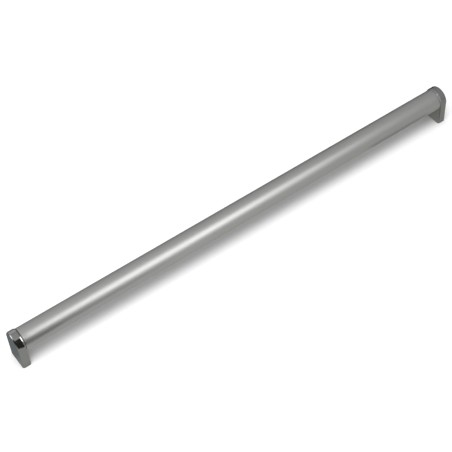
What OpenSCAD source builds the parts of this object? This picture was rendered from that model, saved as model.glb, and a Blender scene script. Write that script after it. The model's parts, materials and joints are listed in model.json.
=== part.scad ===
// Tubular furniture handle: a round grip tube between two cast end supports.
// The tube runs along X, the mounting face is the plane z = 0, and +Z points away from the furniture.

/* [Grip tube] */
// Outside diameter of the grip tube
tube_od = 20; // [16:0.5:28]
// Wall thickness of the grip tube
tube_wall = 1.5; // [1:0.1:2.5]
// Bevel on the outer edge of each sawn tube end
tube_bevel = 0.5; // [0.1:0.05:0.8]

/* [Mounting] */
// Distance between the two fixing screws
hole_spacing = 448; // [128:32:640]
// Tapping size of the fixing thread
thread_bore_d = 3.3; // [2.5:0.1:4.2]
// Depth of the fixing thread above the mounting face
thread_depth = 12; // [6:0.5:16]
// Width of the bevel round the mouth of the thread
thread_mouth = 0.5; // [0.2:0.1:1]
// Point angle of the drill that makes the blind hole
drill_angle = 118; // [90:1:140]

/* [End supports] */
// Thickness of each support along the tube
support_t = 8; // [6:0.5:12]
// Depth of each support's foot, from front to back
foot_depth = 20.8; // [14:0.2:24]
// Height of the tube's axis above the mounting face
axis_height = 23.8; // [20:0.1:40]
// How far the arch of a support stands proud of the tube
arch_margin = 0.7; // [0.3:0.1:2]
// Rounding of the rim on the outer end face
outer_rim_r = 1.8; // [0.3:0.1:2.4]
// Rounding of the rim beside the tube
inner_rim_r = 1.8; // [0.3:0.1:2]

/* [Spigots] */
// Length of the spigot that enters the tube
spigot_length = 14; // [8:0.5:30]
// Wall of the cored spigot
spigot_wall = 2.2; // [1.5:0.1:3]
// Gap all round between the spigot and the inside of the tube
spigot_clearance = 0.1; // [0.05:0.01:0.3]
// Lead-in bevel at the spigot's tip
spigot_lead_in = 0.8; // [0.3:0.1:1.2]

/* [Hidden] */

$fn = 96;
// Amount by which a cutting shape runs past the face that it cuts
overrun = 1;

tube_r = tube_od / 2;
tube_bore_r = tube_r - tube_wall;
tube_length = hole_spacing - support_t;

arch_r = tube_r + arch_margin;
foot_half = foot_depth / 2;

// Each flank is the tangent from the edge of the foot to the arch
foot_to_axis = norm([foot_half, axis_height]);
flank_draft = atan2(axis_height, foot_half) - acos(arch_r / foot_to_axis);
// Long enough to pass the mounting face at any draft
flank_length = foot_to_axis + arch_r;

spigot_r = tube_bore_r - spigot_clearance;
spigot_core_r = spigot_r - spigot_wall;

thread_r = thread_bore_d / 2;
drill_point = thread_r / tan(drill_angle / 2);

// Straight cut aluminium tube, revolved about its own axis
module tube() {
    half = tube_length / 2;
    shoulder = half - tube_bevel;
    color("silver")
        translate([0, 0, axis_height])
            rotate([0, 90, 0])
                rotate_extrude()
                    polygon([
                        [tube_bore_r, -half],
                        [tube_r - tube_bevel, -half],
                        [tube_r, -shoulder],
                        [tube_r, shoulder],
                        [tube_r - tube_bevel, half],
                        [tube_bore_r, half]
                    ]);
}

// Half section of a support's rim: x outwards from the tube's axis, y along it towards the tube
module rim_section() {
    half = support_t / 2;
    difference() {
        translate([0, -half])
            square([arch_r, support_t]);
        translate([arch_r - outer_rim_r, -half - overrun])
            square([outer_rim_r + overrun, outer_rim_r + overrun]);
        translate([arch_r - inner_rim_r, half - inner_rim_r])
            square([inner_rim_r + overrun, inner_rim_r + overrun]);
    }
    translate([arch_r - outer_rim_r, outer_rim_r - half])
        circle(outer_rim_r);
    translate([arch_r - inner_rim_r, half - inner_rim_r])
        circle(inner_rim_r);
}

// One flank: the rim section carried straight down from the arch along the tangent
module flank() {
    rotate([flank_draft, 0, 0])
        translate([0, 0, -flank_length])
            rotate([0, 0, -90])
                linear_extrude(flank_length)
                    rim_section();
}

// Arch and flanks, with the rim rounded all the way round, cut off flat at the mounting face
module support_body() {
    difference() {
        translate([0, 0, axis_height]) {
            rotate([0, 90, 0])
                rotate_extrude()
                    rim_section();
            flank();
            mirror([0, 1, 0])
                flank();
        }
        translate([-support_t, -flank_length, -flank_length - overrun])
            cube([2 * support_t, 2 * flank_length, flank_length + overrun]);
    }
}

// Cored spigot that centres the tube on the support
module spigot() {
    root = support_t / 2 - overrun;
    tip = support_t / 2 + spigot_length;
    translate([0, 0, axis_height])
        rotate([0, 90, 0])
            rotate_extrude()
                polygon([
                    [spigot_core_r, root],
                    [spigot_r, root],
                    [spigot_r, tip - spigot_lead_in],
                    [spigot_r - spigot_lead_in, tip],
                    [spigot_core_r, tip]
                ]);
}

// Blind tapped hole from the mounting face, with a bevelled mouth and a drill point
module fixing_hole() {
    rotate_extrude()
        polygon([
            [0, -overrun],
            [thread_r + thread_mouth + overrun, -overrun],
            [thread_r, thread_mouth],
            [thread_r, thread_depth],
            [0, thread_depth + drill_point]
        ]);
}

// One casting, with its screw axis at the origin and its spigot towards +X
module end_support() {
    color("lightslategray")
        difference() {
            union() {
                support_body();
                spigot();
            }
            fixing_hole();
        }
}

module left_end_support() {
    translate([-hole_spacing / 2, 0, 0])
        end_support();
}

// The same casting, turned half round
module right_end_support() {
    translate([hole_spacing / 2, 0, 0])
        rotate([0, 0, 180])
            end_support();
}

tube();
left_end_support();
right_end_support();
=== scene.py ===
import json
import math

import bmesh
import bpy
import numpy as np
from bpy.props import FloatProperty, FloatVectorProperty, PointerProperty
from mathutils import Matrix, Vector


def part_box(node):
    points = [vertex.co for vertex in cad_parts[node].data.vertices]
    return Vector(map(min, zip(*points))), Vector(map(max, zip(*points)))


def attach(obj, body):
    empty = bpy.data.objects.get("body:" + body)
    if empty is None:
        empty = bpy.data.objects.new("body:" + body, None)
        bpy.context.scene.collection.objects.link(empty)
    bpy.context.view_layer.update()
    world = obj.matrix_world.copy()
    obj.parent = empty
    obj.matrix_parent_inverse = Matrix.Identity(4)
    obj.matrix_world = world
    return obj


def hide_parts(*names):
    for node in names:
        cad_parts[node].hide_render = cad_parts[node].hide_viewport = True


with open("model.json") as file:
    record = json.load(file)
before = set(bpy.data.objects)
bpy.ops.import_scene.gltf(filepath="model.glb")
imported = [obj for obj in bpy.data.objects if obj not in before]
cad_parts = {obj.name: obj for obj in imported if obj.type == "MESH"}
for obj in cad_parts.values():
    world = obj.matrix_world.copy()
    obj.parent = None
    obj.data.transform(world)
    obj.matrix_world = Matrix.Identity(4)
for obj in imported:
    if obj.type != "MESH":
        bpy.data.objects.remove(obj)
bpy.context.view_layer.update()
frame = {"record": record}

bl_info = {
    "name": "Tubular furniture handle",
    "version": (1, 0, 0),
    "blender": (4, 5, 0),
    "location": "3D View > Sidebar > Handle",
    "description": "A satin aluminium grip tube between two polished end supports, on a studio floor",
    "category": "Add Mesh",
}

# Places and sizes that the frame gives, in metres
TUBE_LOW, TUBE_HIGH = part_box("tube")
SUPPORT_LOW, SUPPORT_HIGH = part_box("left_end_support")
MOUNTS = {mount["name"]: mount for mount in frame["record"]["mounts"]}
LEFT_THREAD = MOUNTS["left_thread"]
RIGHT_THREAD = MOUNTS["right_thread"]
MM = 0.001

AXIS_HEIGHT = (TUBE_LOW.z + TUBE_HIGH.z) / 2
TUBE_RADIUS = (TUBE_HIGH.z - TUBE_LOW.z) / 2
TUBE_HALF = TUBE_HIGH.x
ARCH_RADIUS = SUPPORT_HIGH.z - AXIS_HEIGHT
SUPPORT_THICKNESS = TUBE_LOW.x - SUPPORT_LOW.x
SPIGOT_LENGTH = SUPPORT_HIGH.x - TUBE_LOW.x
THREAD_RADIUS = LEFT_THREAD["dims"]["r_mm"] * MM
THREAD_MOUTH = LEFT_THREAD["pos_m"][2]
THREAD_DEPTH = THREAD_MOUTH + LEFT_THREAD["dims"]["length_mm"] * MM

SURFACE_UV = "Surface"
# Edges that turn more sharply than this stay crisp
CRISP_ANGLE = math.radians(32)
# A row of points this close to a rounding keeps the flat beside it flat in reflections
TUCK = 0.05 * MM
# Points closer than this are one point
WELD = 0.0005 * MM
# Steps of the surfaces: round and along the tube, round its edges and the rims, over the arch, up a flank and
# across a foot, and the rows in one turn of the thread
TUBE_AROUND = 192
TUBE_LENGTHS = 60
EDGE_STEPS = 8
RIM_STEPS = 14
ARCH_ROWS = 121
FLANK_ROWS = 9
FOOT_COLUMNS = 57
THREAD_ROWS = 8
# Where a ring-shaped face has a row of points, as shares of the way out to its border
INNER_RING = (0, 0.5, 0.92, 1)
FOOT_RING = (0, 0.4, 1)
# Shares of the thread's pitch that its flat crest and its flat root take
CREST_SHARE = 0.25
ROOT_SHARE = 0.125

# Grains of the finishes: how each stretches the position, its scale and its detail
DRAWN_LINES = ((0.02, 1, 1), 2600, 3)
SOFT_CLOUD = ((0.15, 1, 1), 90, 2)
POLISH_WAVES = ((1, 1, 1), 260, 1)
POLISH_HAZE = ((1, 1, 1), 1500, 3)
# Bumps of the finishes: strength and height
LINE_BUMP = (0.15, 0.004 * MM)
WAVE_BUMP = (0.2, 0.02 * MM)
# Least and greatest roughness of each finish
SATIN_ROUGHNESS = (0.34, 0.40)
CHROME_ROUGHNESS = (0.04, 0.09)
# How far the drawn lines spread the tube's gloss, how dark they are, and the part of the grain over which
# they darken
SATIN_SPREAD = 0.6
LINE_SHADE = 0.94
LINE_RANGE = (0.3, 0.7)

# The stage, in metres and in parts of white: the floor, and how far from the handle it fades to white
FLOOR_RADIUS = 8.0
FADE = (0.5, 1.3)
# Strength of the soft fill on matt surfaces
FILL = 0.415
# The tent: its glow from the floor to the top, and what that is multiplied by from left to right and from the
# front to the middle
TENT_RADIUS = 2.5
TENT_RISE = (0.285, 0.43)
TENT_SIDE = (1.36, 0.67)
TENT_FRONT = (1.2, 1.0)
# Heights of the cards that lie on the floor, so that each covers the one below it
CARD_HEIGHT = 0.1 * MM
SHEET_HEIGHT = 0.2 * MM
# Strips of the glowing card that metal sees in place of the floor, from front to back: the stretch of X
# over which each changes from its left colour to its right colour, and the stretch of Y over which it takes
# over from the strip before it. The second strip is painted shade: the handle's shadow on the floor under the
# tube
PAINTED_FLOOR_STRIPS = (
    ((-0.1, 0.22), (0.41, 0.41, 0.40), (0.335, 0.335, 0.325), None),
    ((-0.22, 0.22), (0.165, 0.183, 0.196), (0.222, 0.222, 0.208), (-0.015, 0.005)),
    ((-0.22, 0.22), (0.25, 0.25, 0.243), (0.05, 0.05, 0.047), (0.034, 0.055)),
)
# Dark and grey cards that metal shows: one corner, the edges along and up from it, and the glow
CARDS = {
    "dark_card": ((-1.33, -0.7, 0), (1.263, 0, 0), (0.184, 0, 1.6), 0.03),
    "dark_sheet": ((-1.8, -1.0, SHEET_HEIGHT), (1.8, 0, 0), (-0.05, 0.895, 0), 0.03),
    "dark_patch": ((-0.208, -0.105, SHEET_HEIGHT), (0.035, 0, 0), (-0.0062, 0.037, 0), 0.03),
    # A grey sheet of painted shadow: the tube's shadow on the floor near the right foot, as metal sees it
    "dark_shade": ((0.15, -0.028, SHEET_HEIGHT), (0.069, 0, 0), (0, 0.015, 0), 0.17),
    "side_card": ((-0.5, -0.4, 0), (0, 0.445, 0), (0, -0.08, 0.45), 0.03),
}
# Panels that light the floor: centre, the way that each shines from, the way of its width, size and level
FLOOR_PANELS = {
    "overhead": ((-0.45, -0.40, 2.5), (0, 0, 1), (0.822, 0.569, 0), (2.62, 1.47), 4.2),
    "left_fill": ((-0.42, -0.10, 0.30), (-0.196, -0.10, 0.30), (0.8, -0.6, 0), (0.35, 0.35), 0.6),
}
# Softboxes: the one piece that shows each, and then the same as for the floor's panels
KEY_BACK = (0.293, -0.643, 0.707)
KEY_RIGHT = (0.93, 0, -0.36)
WEDGE_BACK = (0.735, -0.335, 0.590)
WEDGE_RIGHT = (0.668, 0.286, -0.687)
SOFTBOXES = {
    "key": ("grip_tube", (0.042, -0.4275, 0.5365), KEY_BACK, KEY_RIGHT, (0.44, 0.425), 0.53),
    "key_tail": ("grip_tube", (0.1095, -0.3895, 0.5445), KEY_BACK, KEY_RIGHT, (0.56, 0.525), 0.485),
    "wedge": ("left_support", (0.340, -0.394, 0.519), WEDGE_BACK, WEDGE_RIGHT, (1.02, 0.62), 1.85),
    "streak": ("left_support", (-1.2, 0.665, 0.5), (-0.82, 0.46, 0.36), (0, 1, 0), (0.67, 0.9), 1.15),
    "backdrop": ("left_support", (0, 1.6, 0.55), (0, 1, 0), (1, 0, 0), (2.0, 1.1), 0.16),
    "front_fill": ("right_support", (-0.62, -0.69, 0.8), (0, -1, 0), (1, 0, 0), (1.3, 1.6), 0.42),
    "glint": (
        "right_support", (-0.44, -0.12, 0.77), (-0.66, -0.12, 0.74), (0, 0.98, 0.16), (0.22, 0.35), 1.0,
    ),
    "side_fill": ("right_support", (-0.49, -0.2, 0.22), (-1, 0, 0), (0, 1, 0), (0.44, 0.45), 0.42),
}
# The camera's sensor in millimetres, and how far it sees in metres
SENSOR_WIDTH = 36
VIEW_REACH = 50


class HandleTube(bpy.types.PropertyGroup):
    """Sizes and finish of the grip tube."""

    wall: FloatProperty(
        name="Wall", description="Wall thickness of the tube",
        default=1.5 * MM, min=0.8 * MM, max=3 * MM, unit="LENGTH",
    )
    edge: FloatProperty(
        name="Edge", description="Rounding of the outer edge at each sawn end",
        default=0.15 * MM, min=0.05 * MM, max=0.8 * MM, unit="LENGTH",
    )
    colour: FloatVectorProperty(
        name="Colour", description="Colour of the satin aluminium",
        default=(0.79, 0.79, 0.775), min=0, max=1, size=3, subtype="COLOR",
    )


class HandleSupport(bpy.types.PropertyGroup):
    """Sizes and finish of the two end supports."""

    foot_depth: FloatProperty(
        name="Foot depth", description="Depth of the foot from front to back",
        default=20.8 * MM, min=14 * MM, max=24 * MM, unit="LENGTH",
    )
    outer_rim: FloatProperty(
        name="Outer rim", description="Rounding of the rim on the outer end face",
        default=1.8 * MM, min=0.2 * MM, max=2 * MM, unit="LENGTH",
    )
    inner_rim: FloatProperty(
        name="Inner rim", description="Rounding of the rim beside the tube",
        default=1.8 * MM, min=0.2 * MM, max=2 * MM, unit="LENGTH",
    )
    spigot_clearance: FloatProperty(
        name="Spigot clearance", description="Gap all round between the spigot and the tube",
        default=0.1 * MM, min=0.02 * MM, max=0.4 * MM, unit="LENGTH",
    )
    spigot_wall: FloatProperty(
        name="Spigot wall", description="Wall of the cored spigot",
        default=2.2 * MM, min=1 * MM, max=3 * MM, unit="LENGTH",
    )
    spigot_lead_in: FloatProperty(
        name="Spigot lead-in", description="Bevel at the tip of the spigot",
        default=0.8 * MM, min=0.2 * MM, max=1.5 * MM, unit="LENGTH",
    )
    thread_root: FloatProperty(
        name="Thread root", description="Radius at the bottom of the thread's grooves",
        default=2.0 * MM, min=1.7 * MM, max=2.6 * MM, unit="LENGTH",
    )
    thread_pitch: FloatProperty(
        name="Thread pitch", description="Distance from one turn of the thread to the next",
        default=0.7 * MM, min=0.4 * MM, max=1.2 * MM, unit="LENGTH",
    )
    drill_angle: FloatProperty(
        name="Drill angle", description="Point angle at the bottom of the blind hole",
        default=math.radians(118), min=math.radians(90), max=math.radians(140), unit="ROTATION",
    )
    colour: FloatVectorProperty(
        name="Colour", description="Colour of the polished plating",
        default=(0.49, 0.495, 0.48), min=0, max=1, size=3, subtype="COLOR",
    )


class HandleStage(bpy.types.PropertyGroup):
    """Floor, studio and camera."""

    floor_colour: FloatVectorProperty(
        name="Floor colour", description="Colour of the pale floor",
        default=(0.93, 0.93, 0.93), min=0, max=1, size=3, subtype="COLOR",
    )
    azimuth: FloatProperty(
        name="Azimuth", description="Direction that the camera looks from, from the front towards +X",
        default=math.radians(-32.258), unit="ROTATION",
    )
    elevation: FloatProperty(
        name="Elevation", description="Height of the camera above the horizon",
        default=math.radians(50.483), unit="ROTATION",
    )
    roll: FloatProperty(
        name="Roll", description="Tilt of the camera about its own line of sight",
        default=math.radians(-4.290), unit="ROTATION",
    )
    distance: FloatProperty(
        name="Distance", description="From the camera to the point that it looks at",
        default=1.09270, unit="LENGTH",
    )
    target: FloatVectorProperty(
        name="Target", description="Point at the tube's height that the camera looks at",
        default=(-0.01965, -0.00553, AXIS_HEIGHT), size=3, subtype="TRANSLATION",
    )
    lens: FloatProperty(
        name="Lens", description="Focal length on a sensor 36 mm wide",
        default=101.204, unit="CAMERA",
    )


def grid_faces(rows, columns, closed_rows=False, closed_columns=False):
    """Corner numbers of the quads of a grid, row by row, with either direction closed on itself if asked."""
    row = np.arange(rows if closed_rows else rows - 1)[:, None]
    column = np.arange(columns if closed_columns else columns - 1)[None, :]
    next_row = (row + 1) % rows
    next_column = (column + 1) % columns
    corners = (
        row * columns + column,
        row * columns + next_column,
        next_row * columns + next_column,
        next_row * columns + column,
    )
    return np.stack(corners, axis=-1).reshape(-1, 4)


def arc(centre, radius, start, stop, steps):
    """Points on a circle: centre plus radius times the cosine and sine of an angle from start to stop."""
    angle = np.linspace(math.radians(start), math.radians(stop), steps + 1)
    return np.stack([centre[0] + radius * np.cos(angle), centre[1] + radius * np.sin(angle)], axis=-1)


def between(first, last, share):
    """Straight rows of points from the array first to the array last, one row for each share from 0 to 1."""
    share = np.asarray(share, float).reshape((-1,) + (1,) * np.ndim(first))
    return first * (1 - share) + last * share


def revolved(profile, angle):
    """Rows of a profile of (x, r) turned about the tube's axis: (x, r cos a, axis height + r sin a)."""
    x = np.broadcast_to(profile[:, :1], (len(profile), len(angle)))
    y = profile[:, 1:] * np.cos(angle)
    z = AXIS_HEIGHT + profile[:, 1:] * np.sin(angle)
    return np.stack([x, y, z], axis=-1)


def add_piece(name, mesh, material, node):
    """Puts a finished mesh into the scene in place of a CAD node, with its material."""
    mesh.materials.append(material)
    mesh.shade_smooth()
    mesh.set_sharp_from_angle(angle=CRISP_ANGLE)
    piece = bpy.data.objects.new(name, mesh)
    bpy.context.scene.collection.objects.link(piece)
    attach(piece, "root")
    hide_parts(node)
    return piece


def tube_mesh(size):
    """The tube: a closed profile of radius against length, turned once round the tube's axis.

    The profile runs along the outer wall, round the rolled edge, across the sawn end and back along the bore.
    A point is (x, r cos a, axis height + r sin a), so each face looks away from the wall.
    """
    edge = size.edge
    bore = TUBE_RADIUS - size.wall
    right_edge = arc((TUBE_HALF - edge, TUBE_RADIUS - edge), edge, 90, 0, EDGE_STEPS)
    left_edge = right_edge[::-1] * (-1, 1)
    straight = np.linspace(-1, 1, TUBE_LENGTHS + 1)[1:-1] * (TUBE_HALF - edge)
    wall = np.stack([straight, np.full_like(straight, TUBE_RADIUS)], axis=-1)
    back = np.linspace(1, -1, TUBE_LENGTHS + 1) * TUBE_HALF
    inside = np.stack([back, np.full_like(back, bore)], axis=-1)
    profile = np.concatenate([left_edge, wall, right_edge, inside])

    rows = len(profile)
    angle = np.linspace(0, 2 * math.pi, TUBE_AROUND, endpoint=False)
    points = revolved(profile, angle).reshape(-1, 3)
    faces = grid_faces(rows, TUBE_AROUND, closed_rows=True, closed_columns=True)

    mesh = bpy.data.meshes.new("grip_tube")
    mesh.from_pydata(points, [], faces.tolist())
    # The map's first direction runs round the tube and its second along the profile
    turn = np.broadcast_to(np.arange(TUBE_AROUND), (rows, TUBE_AROUND))
    run = np.broadcast_to(np.arange(rows)[:, None], (rows, TUBE_AROUND))
    corner_u = np.stack([turn, turn + 1, turn + 1, turn], axis=-1) / TUBE_AROUND
    corner_v = np.stack([run, run, run + 1, run + 1], axis=-1) / rows
    uv = np.stack([corner_u, corner_v], axis=-1)
    mesh.uv_layers.new(name=SURFACE_UV).uv.foreach_set("vector", uv.astype(np.float32).ravel())
    return mesh


def rim_section(size):
    """Half section of a support's rim: distance from the tube's axis against place along it.

    It leaves the outer face, rounds the outer rim, crosses the land between the rims and rounds the inner rim
    to the inner face.
    """
    half = SUPPORT_THICKNESS / 2
    outer = arc((ARCH_RADIUS - size.outer_rim, size.outer_rim - half), size.outer_rim, -90, 0, RIM_STEPS)
    inner = arc((ARCH_RADIUS - size.inner_rim, half - size.inner_rim), size.inner_rim, 0, 90, RIM_STEPS)
    land = np.array([
        [ARCH_RADIUS, size.outer_rim - half + TUCK],
        [ARCH_RADIUS, half - size.inner_rim - TUCK],
    ])
    return np.concatenate([outer, land, inner])


def rim_band(size):
    """The rim carried over the arch and down both flanks, as rows of section points.

    Round the arch a point is the axis plus the section's distance times (-cos p, sin p). Each flank follows
    the tangent down to the mounting face, so its draft comes from the foot's depth, the arch and the height
    of the axis.
    """
    section = rim_section(size)
    foot = size.foot_depth / 2
    reach = math.hypot(foot, AXIS_HEIGHT)
    draft = math.atan2(AXIS_HEIGHT, foot) - math.acos(ARCH_RADIUS / reach)
    turn = np.linspace(-draft, math.pi + draft, ARCH_ROWS)
    outward = np.stack([-np.cos(turn), np.sin(turn)], axis=-1)
    arch = outward[:, None, :] * section[None, :, :1]
    arch[..., 1] += AXIS_HEIGHT

    top = arch[0]
    down = np.array([math.sin(draft), -math.cos(draft)])
    base = top + down * (top[:, 1:] / math.cos(draft))
    # Even rows up the flank, and a last one just short of the arch
    share = np.append(np.linspace(0, 1, FLANK_ROWS)[:-1], 1 - TUCK / AXIS_HEIGHT)
    front = between(base, top, share)
    back = front[::-1] * (-1, 1)
    rows = np.concatenate([front, arch, back])
    along = np.broadcast_to(section[:, 1], rows.shape[:2])
    return np.concatenate([along[..., None], rows], axis=-1)


def thread_radius(size, angle, height):
    """Radius of the blind hole's wall at each angle and height.

    Inside the bevelled mouth a groove of the thread's depth climbs one pitch a turn, with a flat crest,
    straight sides and a narrow flat root, and it runs out in the last turn.
    """
    phase = np.mod(height / size.thread_pitch - angle / (2 * math.pi), 1.0)
    rise = (np.abs(2 * phase - 1) - CREST_SHARE) / (1 - CREST_SHARE - ROOT_SHARE)
    run_out = np.clip((THREAD_DEPTH - height) / size.thread_pitch, 0, 1)
    groove = THREAD_RADIUS + (size.thread_root - THREAD_RADIUS) * np.clip(rise, 0, 1) * run_out
    bevel = THREAD_RADIUS + np.clip(THREAD_MOUTH - height, 0, None)
    return np.maximum(groove, bevel)


def support_patches(size):
    """The patches of one support, each a grid of points with a note of whether its columns close."""
    half = SUPPORT_THICKNESS / 2
    band = rim_band(size)
    middle = (len(band) - 1) // 2

    # Shares across a face, evenly spaced as the screw sees them along its straight lower edge
    corner = band[-1, 0, 1]
    widest = math.atan2(corner, half)
    steps = np.tan(np.linspace(-widest, widest, FOOT_COLUMNS)) / math.tan(widest)
    share = np.insert((1 + steps) / 2, [1, -1], [TUCK / (2 * corner), 1 - TUCK / (2 * corner)])

    outer_face = np.swapaxes(between(band[:middle + 1, 0], band[:middle - 1:-1, 0], share), 0, 1)

    # The inner face is a ring from the spigot's root out to the rim and the foot's edge
    inner_edge = between(band[-1, -1], band[0, -1], share)[1:-1]
    inner_loop = np.concatenate([band[:, -1], inner_edge])
    angle = np.arctan2(inner_loop[:, 2] - AXIS_HEIGHT, inner_loop[:, 1])
    spigot = TUBE_RADIUS - bpy.context.scene.handle_tube.wall - size.spigot_clearance
    core = spigot - size.spigot_wall
    tip = half + SPIGOT_LENGTH
    root = revolved(np.array([[half, spigot]]), angle)[0]
    inner_face = between(root, inner_loop, INNER_RING)
    spigot_rows = revolved(np.array([
        [half, spigot],
        [tip - size.spigot_lead_in, spigot],
        [tip, spigot - size.spigot_lead_in],
        [tip, core],
        [half, core],
        [half, 0],
    ]), angle)

    # The foot's face is a ring from the mouth of the hole out to its edge
    foot_loop = np.concatenate([
        band[0],
        inner_edge[::-1],
        band[-1, ::-1],
        outer_face[0, -2:0:-1],
    ])
    turn = np.arctan2(foot_loop[:, 1], foot_loop[:, 0])
    grooves = np.arange(THREAD_MOUTH, THREAD_DEPTH, size.thread_pitch / THREAD_ROWS)
    height = np.concatenate([[0, THREAD_MOUTH / 2], grooves, [THREAD_DEPTH]])[:, None]
    radius = thread_radius(size, turn, height)
    rise = np.broadcast_to(height, radius.shape)
    hole = np.stack([radius * np.cos(turn), radius * np.sin(turn), rise], axis=-1)
    point = np.zeros_like(hole[-1:])
    point[..., 2] = THREAD_DEPTH + THREAD_RADIUS / math.tan(size.drill_angle / 2)
    foot_face = between(hole[0], foot_loop, FOOT_RING)

    return [
        (band, False),
        (outer_face, False),
        (inner_face, True),
        (spigot_rows, True),
        (foot_face, True),
        (np.concatenate([hole, point]), True),
    ]


def support_mesh(name, size, screw_x, way):
    """One closed mesh from the patches, with its screw at screw_x and its spigot towards +X or, at -1, -X."""
    points = []
    faces = []
    count = 0
    for patch, closed in support_patches(size):
        rows, columns = patch.shape[:2]
        points.append(patch.reshape(-1, 3))
        faces.append(grid_faces(rows, columns, closed_columns=closed) + count)
        count += rows * columns
    place = np.concatenate(points) * (way, way, 1) + (screw_x, 0, 0)
    mesh = bpy.data.meshes.new(name)
    mesh.from_pydata(place, [], np.concatenate(faces).tolist())

    welded = bmesh.new()
    welded.from_mesh(mesh)
    bmesh.ops.remove_doubles(welded, verts=welded.verts, dist=WELD)
    bmesh.ops.dissolve_degenerate(welded, edges=welded.edges, dist=WELD)
    bmesh.ops.recalc_face_normals(welded, faces=welded.faces)
    welded.to_mesh(mesh)
    welded.free()
    return mesh


def add_node(tree, kind, values=None, **settings):
    """A node of that kind, with its settings and the values of its named input sockets."""
    node = tree.nodes.new(kind)
    for key, value in settings.items():
        setattr(node, key, value)
    for key, value in (values or {}).items():
        node.inputs[key].default_value = value
    return node


def grain_group():
    """Node group: soft noise on a position that is stretched first, so that it draws out into a grain."""
    name = "Stretched grain"
    if name in bpy.data.node_groups:
        return bpy.data.node_groups[name]
    group = bpy.data.node_groups.new(name, "ShaderNodeTree")
    sockets = (("Position", "Vector"), ("Stretch", "Vector"), ("Scale", "Float"), ("Detail", "Float"))
    for socket, kind in sockets:
        group.interface.new_socket(name=socket, in_out="INPUT", socket_type="NodeSocket" + kind)
    group.interface.new_socket(name="Grain", in_out="OUTPUT", socket_type="NodeSocketFloat")
    entry = group.nodes.new("NodeGroupInput")
    leave = group.nodes.new("NodeGroupOutput")
    stretch = add_node(group, "ShaderNodeVectorMath", operation="MULTIPLY")
    noise = add_node(group, "ShaderNodeTexNoise", {"Roughness": 0.6})
    group.links.new(entry.outputs["Position"], stretch.inputs[0])
    group.links.new(entry.outputs["Stretch"], stretch.inputs[1])
    group.links.new(stretch.outputs["Vector"], noise.inputs["Vector"])
    group.links.new(entry.outputs["Scale"], noise.inputs["Scale"])
    group.links.new(entry.outputs["Detail"], noise.inputs["Detail"])
    group.links.new(noise.outputs["Fac"], leave.inputs["Grain"])
    return group


def add_grain(tree, position, stretch, scale, detail):
    """One use of the grain group on the Object coordinates. Returns its output socket."""
    values = {"Stretch": stretch, "Scale": scale, "Detail": detail}
    node = add_node(tree, "ShaderNodeGroup", values, node_tree=grain_group())
    tree.links.new(position.outputs["Object"], node.inputs["Position"])
    return node.outputs["Grain"]


def add_range(tree, value, low, high):
    """A value from 0 to 1 spread over the range from low to high. Returns its output socket."""
    node = add_node(tree, "ShaderNodeMapRange", {"To Min": low, "To Max": high})
    tree.links.new(value, node.inputs["Value"])
    return node.outputs["Result"]


def add_ramp(tree, value, first, last, start=0, stop=1):
    """A blend from one colour to another as a value goes from start to stop. Returns its output socket."""
    ramp = tree.nodes.new("ShaderNodeValToRGB")
    low, high = ramp.color_ramp.elements
    low.color = (*first, 1)
    low.position = start
    high.color = (*last, 1)
    high.position = stop
    tree.links.new(value, ramp.inputs["Fac"])
    return ramp.outputs["Color"]


def add_bump(tree, shader, height, strength, distance):
    """A bump of that height on the shader's normal."""
    bump = add_node(tree, "ShaderNodeBump", {"Strength": strength, "Distance": distance})
    tree.links.new(height, bump.inputs["Height"])
    tree.links.new(bump.outputs["Normal"], shader.inputs["Normal"])


def metal(name):
    """A new metal material. Returns it with its tree, its shader and its coordinates."""
    material = bpy.data.materials.new(name)
    material.use_nodes = True
    tree = material.node_tree
    shader = tree.nodes["Principled BSDF"]
    shader.inputs["Metallic"].default_value = 1.0
    position = tree.nodes.new("ShaderNodeTexCoord")
    return material, tree, shader, position


def satin_aluminium(colour):
    """Satin anodised aluminium: fine drawn lines along the tube, which spread its gloss round the tube."""
    material, tree, shader, position = metal("satin_aluminium")
    lines = add_grain(tree, position, *DRAWN_LINES)
    cloud = add_grain(tree, position, *SOFT_CLOUD)
    dark = tuple(LINE_SHADE * part for part in colour)
    tone = add_ramp(tree, lines, dark, colour, *LINE_RANGE)
    tree.links.new(tone, shader.inputs["Base Color"])
    tree.links.new(add_range(tree, cloud, *SATIN_ROUGHNESS), shader.inputs["Roughness"])
    shader.inputs["Anisotropic"].default_value = SATIN_SPREAD
    tangent = add_node(tree, "ShaderNodeTangent", direction_type="UV_MAP", uv_map=SURFACE_UV)
    tree.links.new(tangent.outputs["Tangent"], shader.inputs["Tangent"])
    add_bump(tree, shader, lines, *LINE_BUMP)
    return material


def polished_chrome(colour):
    """Bright plating on a polished casting: nearly a mirror, with the faint waves of hand polishing."""
    material, tree, shader, position = metal("polished_chrome")
    shader.inputs["Base Color"].default_value = (*colour, 1)
    waves = add_grain(tree, position, *POLISH_WAVES)
    haze = add_grain(tree, position, *POLISH_HAZE)
    tree.links.new(add_range(tree, haze, *CHROME_ROUGHNESS), shader.inputs["Roughness"])
    add_bump(tree, shader, waves, *WAVE_BUMP)
    return material


class HANDLE_OT_grip_tube(bpy.types.Operator):
    """Add the satin grip tube"""

    bl_idname = "handle.grip_tube"
    bl_label = "Grip tube"

    def execute(self, context):
        size = context.scene.handle_tube
        add_piece("grip_tube", tube_mesh(size), satin_aluminium(size.colour), "tube")
        return {"FINISHED"}


class HANDLE_OT_end_supports(bpy.types.Operator):
    """Add the two polished end supports, the same casting turned half round"""

    bl_idname = "handle.end_supports"
    bl_label = "End supports"

    def execute(self, context):
        size = context.scene.handle_support
        chrome = polished_chrome(size.colour)
        for name, thread, way in (("left", LEFT_THREAD, 1), ("right", RIGHT_THREAD, -1)):
            mesh = support_mesh(name + "_support", size, thread["pos_m"][0], way)
            add_piece(mesh.name, mesh, chrome, name + "_end_support")
        return {"FINISHED"}


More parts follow.
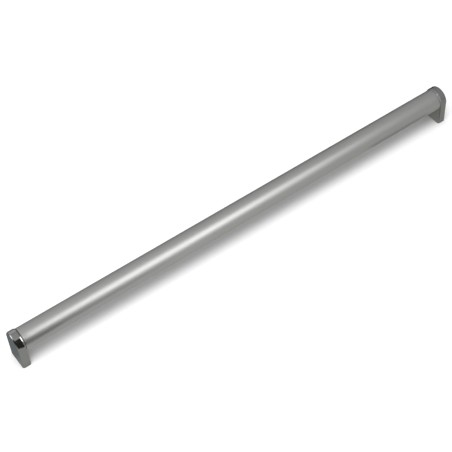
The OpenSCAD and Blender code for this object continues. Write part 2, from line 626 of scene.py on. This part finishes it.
def stage_mesh(name, points, material, closed_columns=False):
    """A stage object from one grid of points."""
    rows, columns = points.shape[:2]
    mesh = bpy.data.meshes.new(name)
    faces = grid_faces(rows, columns, closed_columns=closed_columns)
    mesh.from_pydata(points.reshape(-1, 3), [], faces.tolist())
    mesh.materials.append(material)
    mesh.shade_smooth()
    thing = bpy.data.objects.new(name, mesh)
    bpy.context.scene.collection.objects.link(thing)
    return thing


def only_in_reflections(thing):
    """Keeps a studio card out of the picture and off the floor, so that only glossy surfaces show it."""
    thing.visible_camera = False
    thing.visible_diffuse = False
    thing.visible_transmission = False
    thing.visible_volume_scatter = False
    thing.visible_shadow = False


def add_seen(tree):
    """1 where the camera, a glossy surface or a clear one looks, and 0 for other rays. Returns its socket."""
    path = tree.nodes.new("ShaderNodeLightPath")
    seen = path.outputs["Is Camera Ray"]
    for name in ("Is Glossy Ray", "Is Transmission Ray"):
        either = add_node(tree, "ShaderNodeMath", operation="MAXIMUM")
        tree.links.new(seen, either.inputs[0])
        tree.links.new(path.outputs[name], either.inputs[1])
        seen = either.outputs["Value"]
    return seen


def pale_floor(colour):
    """Matt floor that keeps the shadow near the handle and fades to plain white far from it."""
    material = bpy.data.materials.new("floor")
    material.use_nodes = True
    material.cycles.emission_sampling = "NONE"
    tree = material.node_tree
    shader = tree.nodes["Principled BSDF"]
    shader.inputs["Base Color"].default_value = (*colour, 1)
    shader.inputs["Roughness"].default_value = 1.0
    shader.inputs["Specular IOR Level"].default_value = 0.0

    position = tree.nodes.new("ShaderNodeTexCoord")
    away = add_node(tree, "ShaderNodeVectorMath", operation="LENGTH")
    fade = add_node(tree, "ShaderNodeMapRange", {"From Min": FADE[0], "From Max": FADE[1]})
    share = add_node(tree, "ShaderNodeMath", operation="MULTIPLY")
    white = add_node(tree, "ShaderNodeEmission", {"Color": (1, 1, 1, 1), "Strength": 1.0})
    blend = tree.nodes.new("ShaderNodeMixShader")
    tree.links.new(position.outputs["Object"], away.inputs[0])
    tree.links.new(away.outputs["Value"], fade.inputs["Value"])
    tree.links.new(fade.outputs["Result"], share.inputs[0])
    tree.links.new(add_seen(tree), share.inputs[1])
    tree.links.new(share.outputs["Value"], blend.inputs["Fac"])
    tree.links.new(shader.outputs["BSDF"], blend.inputs[1])
    tree.links.new(white.outputs["Emission"], blend.inputs[2])
    tree.links.new(blend.outputs["Shader"], tree.nodes["Material Output"].inputs["Surface"])
    return material


def add_part(tree, axis, start, stop, low=0, high=1):
    """Spreads one Object coordinate from start to stop over low to high. Returns its output socket."""
    position = tree.nodes.new("ShaderNodeTexCoord")
    parts = tree.nodes.new("ShaderNodeSeparateXYZ")
    values = {"From Min": start, "From Max": stop, "To Min": low, "To Max": high}
    level = add_node(tree, "ShaderNodeMapRange", values)
    tree.links.new(position.outputs["Object"], parts.inputs["Vector"])
    tree.links.new(parts.outputs[axis], level.inputs["Value"])
    return level.outputs["Result"]


def glow(name, strength):
    """A card that shines evenly. Returns the material with its tree and its shader."""
    material = bpy.data.materials.new(name)
    material.use_nodes = True
    material.cycles.emission_sampling = "NONE"
    tree = material.node_tree
    tree.nodes.remove(tree.nodes["Principled BSDF"])
    shine = add_node(tree, "ShaderNodeEmission", {"Strength": strength})
    tree.links.new(shine.outputs["Emission"], tree.nodes["Material Output"].inputs["Surface"])
    return material, tree, shine


def tent_glow():
    """The studio tent: grey, brighter overhead and in front, and darker to the right."""
    material, tree, shine = glow("tent", 1)
    level = add_part(tree, "Z", 0, TENT_RADIUS, *TENT_RISE)
    side = add_part(tree, "X", -TENT_RADIUS, TENT_RADIUS, *TENT_SIDE)
    front = add_part(tree, "Y", -TENT_RADIUS, 0, *TENT_FRONT)
    for part in (side, front):
        product = add_node(tree, "ShaderNodeMath", operation="MULTIPLY")
        tree.links.new(level, product.inputs[0])
        tree.links.new(part, product.inputs[1])
        level = product.outputs["Value"]
    tree.links.new(level, shine.inputs["Strength"])
    return material


def painted_floor_glow():
    """A glowing card that polished metal sees in place of the floor: light in front of the handle, painted
    shade of the handle's shadow under and just behind the tube, and darker far behind.
    """
    material, tree, shine = glow("floor_card", 1)
    colour = None
    for along, left, right, across in PAINTED_FLOOR_STRIPS:
        strip = add_ramp(tree, add_part(tree, "X", *along), left, right)
        if colour is not None:
            blend = add_node(tree, "ShaderNodeMix", data_type="RGBA")
            tree.links.new(add_part(tree, "Y", *across), blend.inputs[0])
            tree.links.new(colour, blend.inputs[6])
            tree.links.new(strip, blend.inputs[7])
            strip = blend.outputs[2]
        colour = strip
    tree.links.new(colour, shine.inputs["Color"])
    return material


def dome(radius, around=96, rows=24):
    """Upper half of a sphere, in rings from the floor up: radius times (cos e cos a, cos e sin a, sin e)."""
    angle = np.linspace(0, 2 * math.pi, around, endpoint=False)[None, :]
    rise = np.linspace(0, math.pi / 2, rows)[:, None]
    x = np.cos(rise) * np.cos(angle)
    y = np.cos(rise) * np.sin(angle)
    z = np.broadcast_to(np.sin(rise), x.shape)
    return radius * np.stack([x, y, z], axis=-1)


def sheet(corner, along, up):
    """A flat card: one corner plus shares of the edges along and up from it."""
    corner, along, up = (np.array(part, float) for part in (corner, along, up))
    share = np.linspace(0, 1, 2)
    return corner + share[:, None, None] * up + share[None, :, None] * along


def level_square(radius, height):
    """A level sheet about the origin that reaches that far to each side."""
    return sheet((-radius, -radius, height), (2 * radius, 0, 0), (0, 2 * radius, 0))


def facing(right, back, place):
    """Matrix of a thing at that place whose own Z runs along back and whose own X runs nearest to right."""
    back = np.array(back, float) / np.linalg.norm(back)
    right = np.array(right, float)
    right -= back * right.dot(back)
    right /= np.linalg.norm(right)
    rows = np.stack([right, np.cross(back, right), back, np.array(place, float)], axis=1)
    return Matrix(rows.tolist()).to_4x4()


def add_panel(name, place, back, right, size, level):
    """A rectangular lamp of that brightness, which shines from the direction back and is wide along right."""
    wide, tall = size
    lamp = bpy.data.lights.new(name, "AREA")
    lamp.shape = "RECTANGLE"
    lamp.size = wide
    lamp.size_y = tall
    # A panel is as bright as its power over four times its area
    lamp.energy = 4 * level * wide * tall
    thing = bpy.data.objects.new(name, lamp)
    thing.matrix_world = facing(right, back, place)
    bpy.context.scene.collection.objects.link(thing)
    return thing


def only_for(piece):
    """A collection that keeps a lamp's light to one piece."""
    name = "lights_" + piece
    if name not in bpy.data.collections:
        bpy.data.collections.new(name).objects.link(bpy.data.objects[piece])
    return bpy.data.collections[name]


def studio_world(level):
    """World: white where the camera, glossy or clear surfaces see it, and a soft grey fill for the rest."""
    world = bpy.data.worlds.new("studio")
    world.use_nodes = True
    tree = world.node_tree
    ground = tree.nodes["Background"]
    tree.links.new(add_range(tree, add_seen(tree), level, 1.0), ground.inputs["Strength"])
    ground.inputs["Color"].default_value = (1, 1, 1, 1)
    bpy.context.scene.world = world


def add_camera(stage):
    """Camera on a sphere round its target, turned about its own line of sight by the roll."""
    a, e = stage.azimuth, stage.elevation
    back = np.array([math.sin(a) * math.cos(e), -math.cos(a) * math.cos(e), math.sin(e)])
    level = np.array([math.cos(a), math.sin(a), 0])
    rise = np.cross(back, level)
    right = level * math.cos(stage.roll) + rise * math.sin(stage.roll)
    place = np.array(stage.target) + back * stage.distance
    data = bpy.data.cameras.new("camera")
    data.lens = stage.lens
    data.sensor_width = SENSOR_WIDTH
    data.clip_end = VIEW_REACH
    camera = bpy.data.objects.new("camera", data)
    camera.matrix_world = facing(right, back, place)
    bpy.context.scene.collection.objects.link(camera)
    bpy.context.scene.camera = camera


class HANDLE_OT_stage(bpy.types.Operator):
    """Add the floor, the studio light and the camera"""

    bl_idname = "handle.stage"
    bl_label = "Stage"

    def execute(self, context):
        stage = context.scene.handle_stage
        context.scene.view_settings.view_transform = "Standard"
        stage_mesh("floor", level_square(FLOOR_RADIUS, 0), pale_floor(stage.floor_colour))

        cards = [
            stage_mesh("tent", dome(TENT_RADIUS), tent_glow(), closed_columns=True),
            # The floor card is a painted floor for reflections, with painted shade under the handle
            stage_mesh("floor_card", level_square(TENT_RADIUS, CARD_HEIGHT), painted_floor_glow()),
        ]
        for name, (*edges, level) in CARDS.items():
            cards.append(stage_mesh(name, sheet(*edges), glow(name, level)[0]))
        for card in cards:
            only_in_reflections(card)

        for name, panel in FLOOR_PANELS.items():
            add_panel(name, *panel).visible_glossy = False
        for name, (piece, *panel) in SOFTBOXES.items():
            softbox = add_panel(name, *panel)
            softbox.visible_diffuse = False
            softbox.light_linking.receiver_collection = only_for(piece)
        studio_world(FILL)
        add_camera(stage)
        return {"FINISHED"}


class HANDLE_PT_pieces(bpy.types.Panel):
    """Lists the handle's pieces and the stage"""

    bl_idname = "HANDLE_PT_pieces"
    bl_label = "Furniture handle"
    bl_space_type = "VIEW_3D"
    bl_region_type = "UI"
    bl_category = "Handle"

    def draw(self, context):
        for operator, group in PIECES:
            box = self.layout.box()
            box.operator(operator.bl_idname)
            settings = getattr(context.scene, group)
            for name in settings.bl_rna.properties.keys():
                if name not in {"rna_type", "name"}:
                    box.prop(settings, name)


PIECES = (
    (HANDLE_OT_grip_tube, "handle_tube"),
    (HANDLE_OT_end_supports, "handle_support"),
    (HANDLE_OT_stage, "handle_stage"),
)
GROUPS = {"handle_tube": HandleTube, "handle_support": HandleSupport, "handle_stage": HandleStage}
CLASSES = (*GROUPS.values(), *(operator for operator, _ in PIECES), HANDLE_PT_pieces)


def register():
    for item in CLASSES:
        bpy.utils.register_class(item)
    for name, group in GROUPS.items():
        setattr(bpy.types.Scene, name, PointerProperty(type=group))


def unregister():
    for name in GROUPS:
        delattr(bpy.types.Scene, name)
    for item in reversed(CLASSES):
        bpy.utils.unregister_class(item)


def main():
    register()
    bpy.ops.handle.grip_tube()
    bpy.ops.handle.end_supports()
    bpy.ops.handle.stage()


if __name__ == "__main__":
    main()
